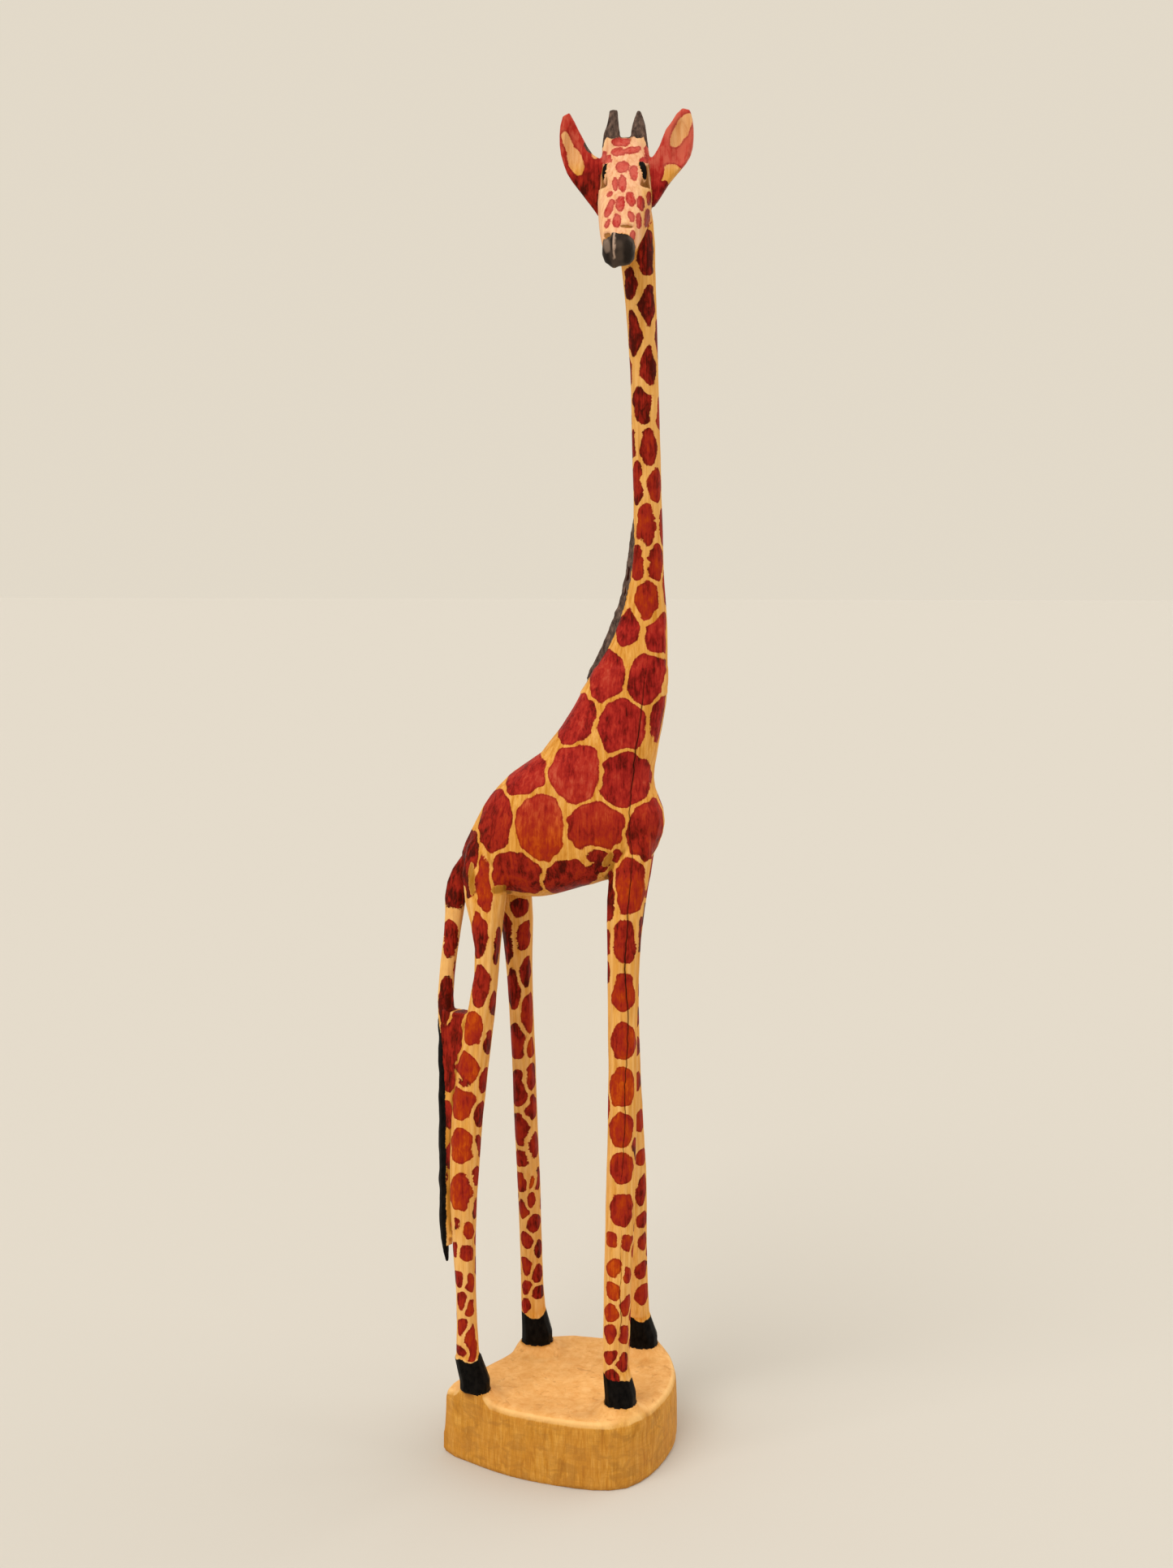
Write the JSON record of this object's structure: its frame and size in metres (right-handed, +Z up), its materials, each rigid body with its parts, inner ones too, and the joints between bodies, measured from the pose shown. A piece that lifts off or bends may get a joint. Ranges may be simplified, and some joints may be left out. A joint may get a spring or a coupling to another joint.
{
  "type": "carved giraffe statue",
  "caption": "Tall slender giraffe carved and painted in one piece of wood, standing on a rough hewn base with its head turned to the side.",
  "frame": {"origin": "the sawn underside of the base, about its middle, below the body of the animal", "axes": "+X the way the body and neck face, +Y the animal's left side, +Z up; the head is turned towards -Y"},
  "size_m": [0.1868, 0.1494, 0.997],
  "materials": {
    "raw_wood": "bare, hewn, dry matt wood",
    "spotted_wood": "golden wood with crimson to brown brushed stain spots, thin satin varnish",
    "face_paint": "pale wood with crimson brush strokes, satin",
    "ear_paint": "crimson stain with bare yellow inner patches, satin",
    "dark_paint": "thin charcoal paint over rough carved wood, dull",
    "black_paint": "black paint, satin"
  },
  "bodies": {
    "root": {"base_block": "raw_wood", "torso": "spotted_wood", "neck": "spotted_wood", "mane": "dark_paint", "tail": "spotted_wood", "tail_tuft": "black_paint", "head": "face_paint", "muzzle": "black_paint", "ear_right": "ear_paint", "ear_left": "ear_paint", "horn_right": "dark_paint", "horn_left": "dark_paint", "eye_right": "black_paint", "eye_left": "black_paint", "leg_rear_right": "spotted_wood", "hoof_rear_right": "black_paint", "leg_rear_left": "spotted_wood", "hoof_rear_left": "black_paint", "leg_front_right": "spotted_wood", "hoof_front_right": "black_paint", "leg_front_left": "spotted_wood", "hoof_front_left": "black_paint"}
  },
  "joints": []
}
